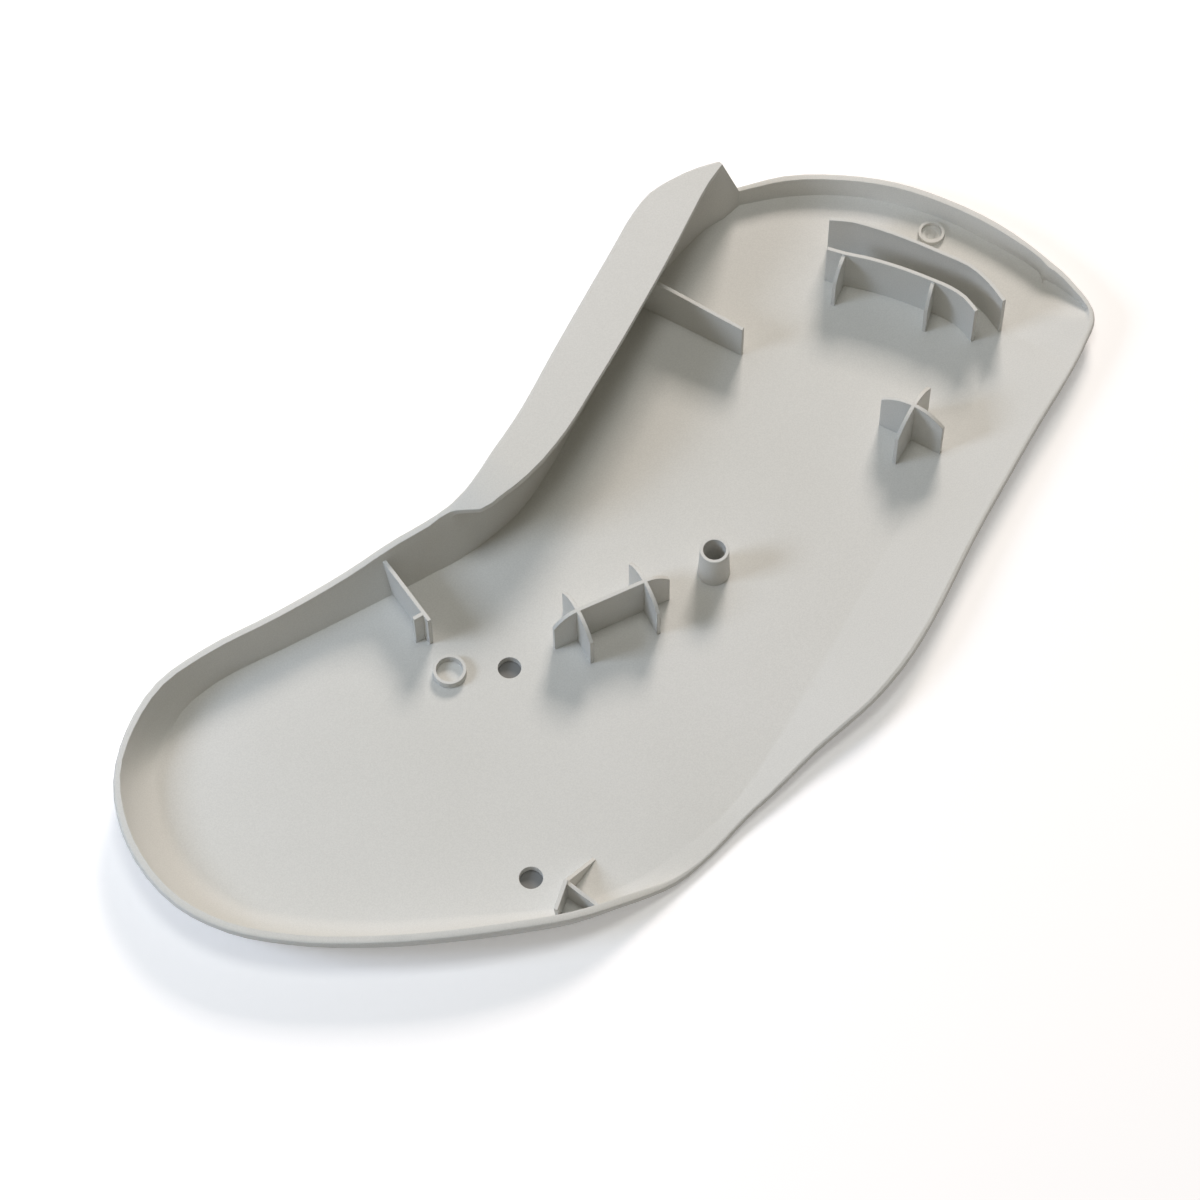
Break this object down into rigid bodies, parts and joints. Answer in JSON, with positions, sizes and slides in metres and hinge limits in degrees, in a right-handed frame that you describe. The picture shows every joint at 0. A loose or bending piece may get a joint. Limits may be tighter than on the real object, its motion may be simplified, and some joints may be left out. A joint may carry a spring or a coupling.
{
  "type": "seat side trim panel",
  "caption": "Curved one-piece plastic side trim panel with a raised rim, a turned-in flange, locating ribs, clip rails, a hollow boss and fixing holes.",
  "frame": {"origin": "middle of the panel's length and width, on the underside of its floor, which is the smooth outer face", "axes": "+X along the length towards the square-cornered end, +Y towards the flanged side, +Z from the outer face into the ribbed inner face"},
  "size_m": [0.342, 0.198, 0.031],
  "materials": {
    "panel_plastic": "matte"
  },
  "bodies": {
    "root": {"trim_panel": "panel_plastic"}
  },
  "joints": []
}
